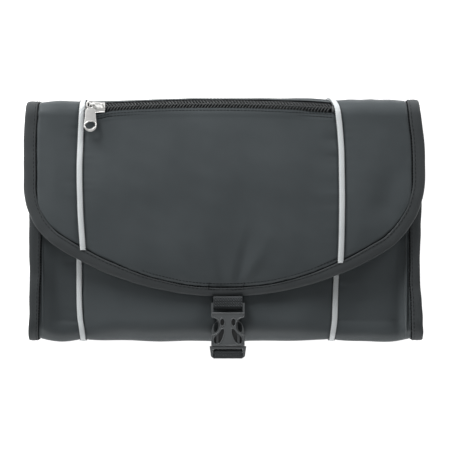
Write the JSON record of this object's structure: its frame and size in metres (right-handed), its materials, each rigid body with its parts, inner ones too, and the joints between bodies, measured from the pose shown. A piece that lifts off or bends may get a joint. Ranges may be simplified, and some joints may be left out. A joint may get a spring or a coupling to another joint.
{
  "type": "toiletry bag",
  "caption": "Flat padded toiletry pouch with side gussets, a flap folded over the front, a zipped flap pocket and a side-release buckle on webbing.",
  "frame": {"origin": "on the outer face of the back panel, which the bag lies on, halfway across the bag and halfway up its height without the buckle", "axes": "+X across the bag to the right, +Y from the buckle towards the top fold, +Z out of the front"},
  "size_m": [0.2814, 0.1819, 0.0565],
  "materials": {
    "nylon": "woven nylon cloth, matt with a slight sheen",
    "binding": "woven nylon tape",
    "piping": "light grey woven piping",
    "lining": "thin smooth polyester",
    "mesh": "open knitted mesh",
    "elastic": "ribbed elastic",
    "webbing": "ribbed webbing",
    "zip_tape": "knitted zip tape",
    "coil": "nylon coil",
    "metal": "pale nickel plating",
    "acetal": "moulded, satin"
  },
  "bodies": {
    "bag": {"back_panel": "nylon", "back_padding": "lining", "back_lining": "lining", "pouch_left_panel": "nylon", "pouch_centre_panel": "nylon", "pouch_right_panel": "nylon", "pouch_piping_left": "piping", "pouch_piping_right": "piping", "gusset_left": "nylon", "gusset_right": "nylon", "seam_binding_left": "binding", "seam_binding_right": "binding", "mouth_binding": "binding", "front_lining": "lining", "mesh_pocket": "mesh", "mesh_pocket_elastic": "elastic", "bottom_strap": "webbing"},
    "spine": {"spine_binding_left": "binding", "spine_left_panel": "nylon", "spine_piping_left": "piping", "spine_centre_panel": "nylon", "spine_piping_right": "piping", "spine_right_panel": "nylon", "spine_binding_right": "binding"},
    "flap": {"flap_binding": "binding", "flap_left_panel": "nylon", "flap_right_panel": "nylon", "flap_centre_panel": "nylon", "flap_piping_left": "piping", "flap_piping_right": "piping", "flap_pocket_sheet": "lining", "flap_lining": "lining", "flap_strap": "webbing", "zip_tape_lower": "zip_tape", "zip_tape_upper": "zip_tape", "zip_coil_lower": "coil", "zip_coil_upper": "coil", "zip_stop_left": "coil", "zip_stop_right": "coil", "buckle_socket": "acetal"},
    "zip_slider": {"zip_slider": "metal"},
    "zip_pull": {"zip_pull": "metal"},
    "plug": {"buckle_plug": "acetal"},
    "prong_left": {"prong_left": "acetal"},
    "prong_right": {"prong_right": "acetal"}
  },
  "joints": [
    {"name": "top_fold", "type": "hinge", "parent": "bag", "child": "spine", "pos_m": [0, 0.0839, 0.0014], "axis": [-1, 0, 0], "range_deg": [0, 66]},
    {"name": "flap_fold", "type": "hinge", "parent": "spine", "child": "flap", "pos_m": [0, 0.08352, 0.0409], "axis": [-1, 0, 0], "range_deg": [0, 110]},
    {"name": "flap_zip_slide", "type": "slide", "parent": "flap", "child": "zip_slider", "axis": [1, 0, 0], "range_m": [0, 0.16]},
    {"name": "pull_swing", "type": "hinge", "parent": "zip_slider", "child": "zip_pull", "pos_m": [-0.0937, 0.08046, 0.05199], "axis": [-1, 0, 0], "range_deg": [0, 50]},
    {"name": "buckle_release", "type": "slide", "parent": "bag", "child": "plug", "axis": [0, -1, 0], "range_m": [0, 0.02], "deforming": ["bottom_strap", "prong_left", "prong_right"]},
    {"name": "prong_left_squeeze", "type": "hinge", "parent": "plug", "child": "prong_left", "pos_m": [-0.005, -0.0872, 0.0492], "axis": [0, 0, -1], "range_deg": [0, 10], "stiffness_Nm_per_rad": 0.4},
    {"name": "prong_right_squeeze", "type": "hinge", "parent": "plug", "child": "prong_right", "pos_m": [0.0098, -0.0872, 0.0492], "axis": [0, 0, 1], "range_deg": [0, 10], "stiffness_Nm_per_rad": 0.4}
  ],
  "couplings": [
    {"joint": "flap_fold", "follows": "top_fold", "ratio": 1.6667}
  ]
}
